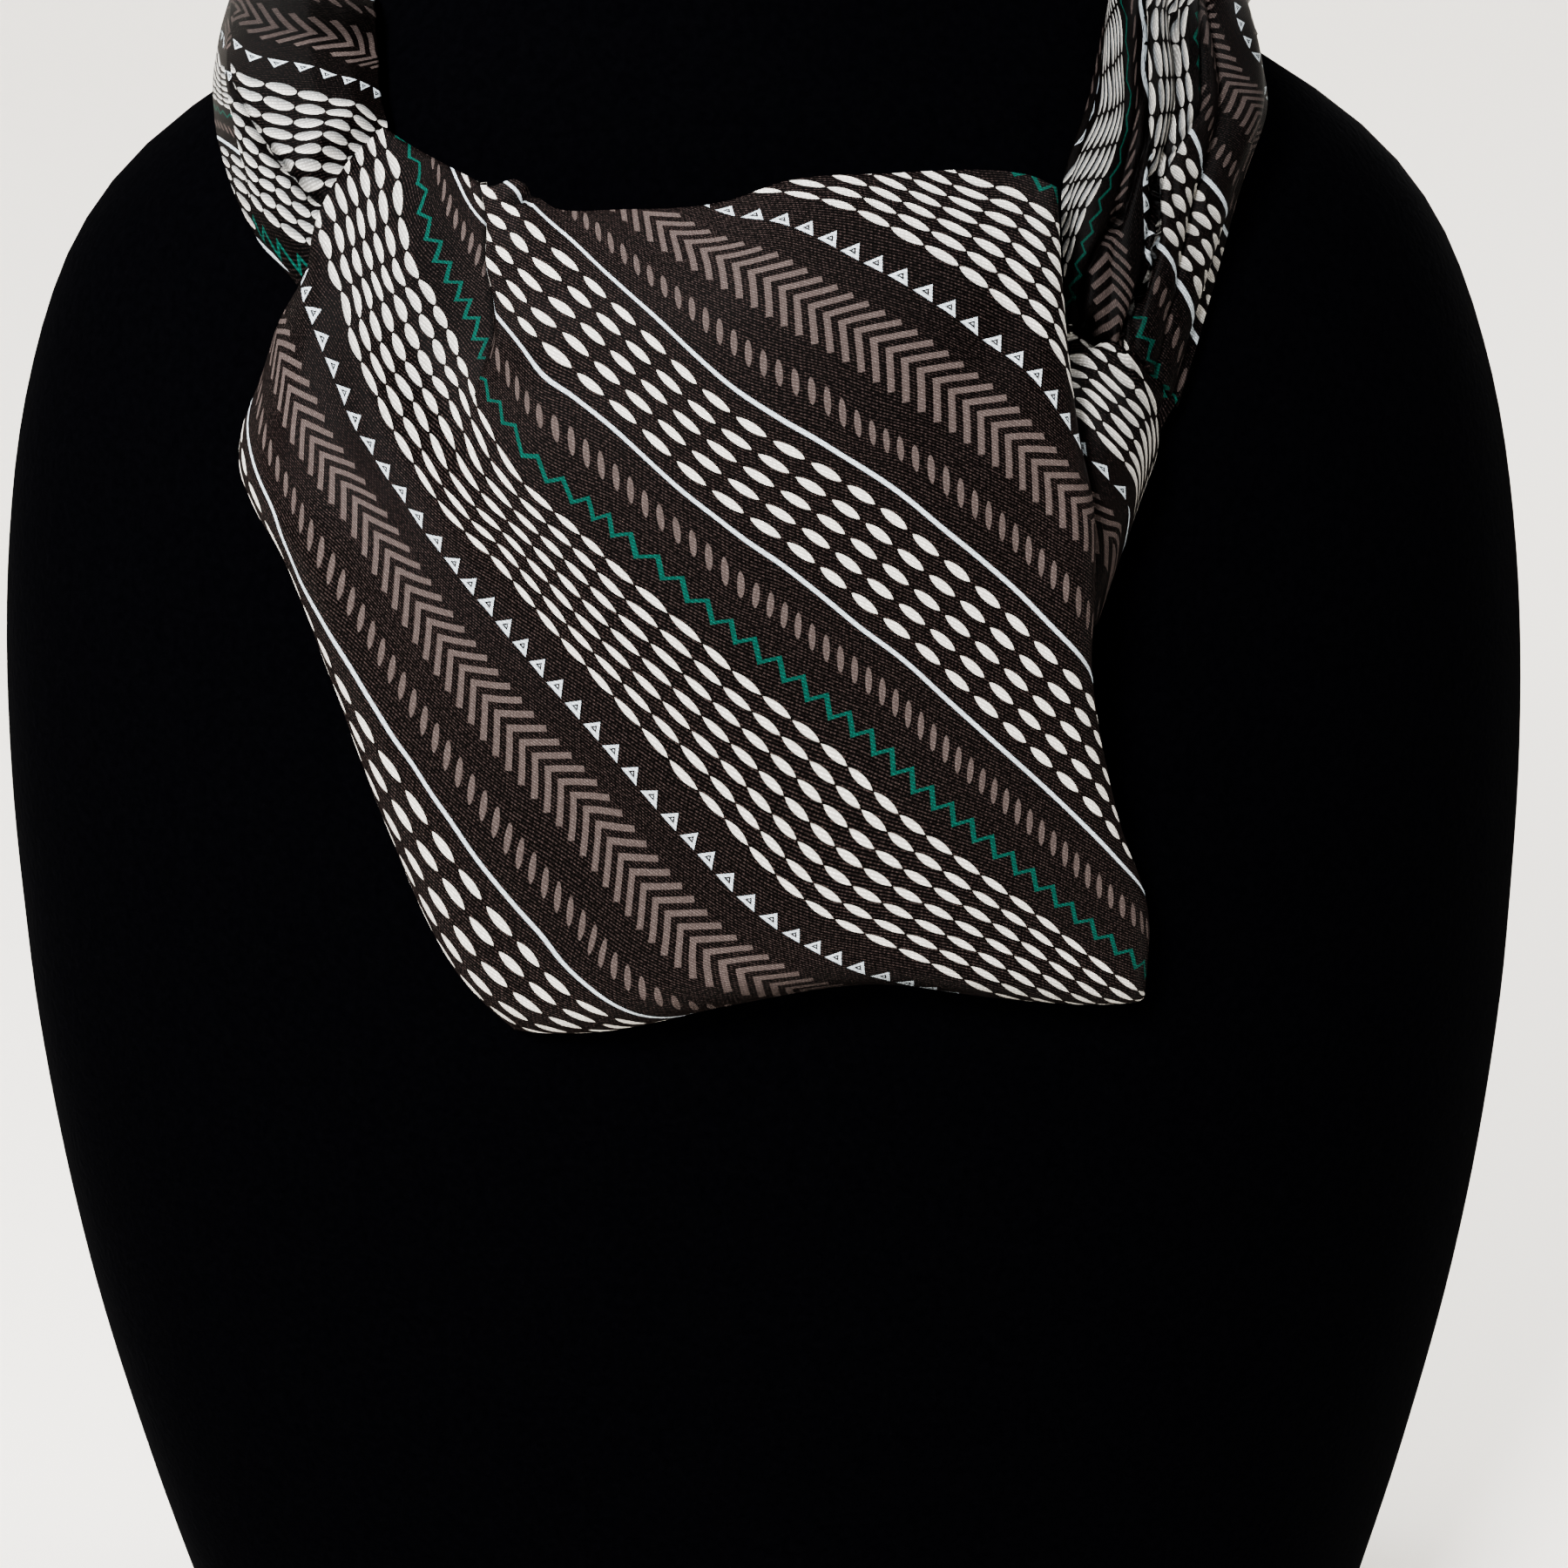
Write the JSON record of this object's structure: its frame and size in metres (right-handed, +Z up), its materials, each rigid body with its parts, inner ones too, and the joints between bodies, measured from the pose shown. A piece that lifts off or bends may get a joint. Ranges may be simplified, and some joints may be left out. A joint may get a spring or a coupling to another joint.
{
  "type": "printed cravat on a limbless velvet display bust",
  "caption": "Printed twill cravat folded and draped round the neck of a limbless black velvet display bust, with a broad blade over the chest.",
  "frame": {"origin": "centre of the bounding box at the base, on the flat underside that the bust stands on", "axes": "+Z up along the neck, -Y out of the chest towards the front blade, +X towards the gathered side of the cravat"},
  "size_m": [0.2396, 0.1328, 0.345],
  "materials": {
    "black_velvet": "black velvet with a short dense nap and a faint sheen at grazing angles",
    "printed_twill": "near-black brown twill with a soft sheen, printed in stripes of white and taupe ovals, taupe chevrons, pale lines and triangles and a teal zigzag"
  },
  "bodies": {
    "root": {"display_bust": "black_velvet", "front_blade": "printed_twill", "left_neckband": "printed_twill", "back_neckband": "printed_twill", "right_neckband": "printed_twill", "right_tuck": "printed_twill", "under_blade": "printed_twill"}
  },
  "joints": []
}
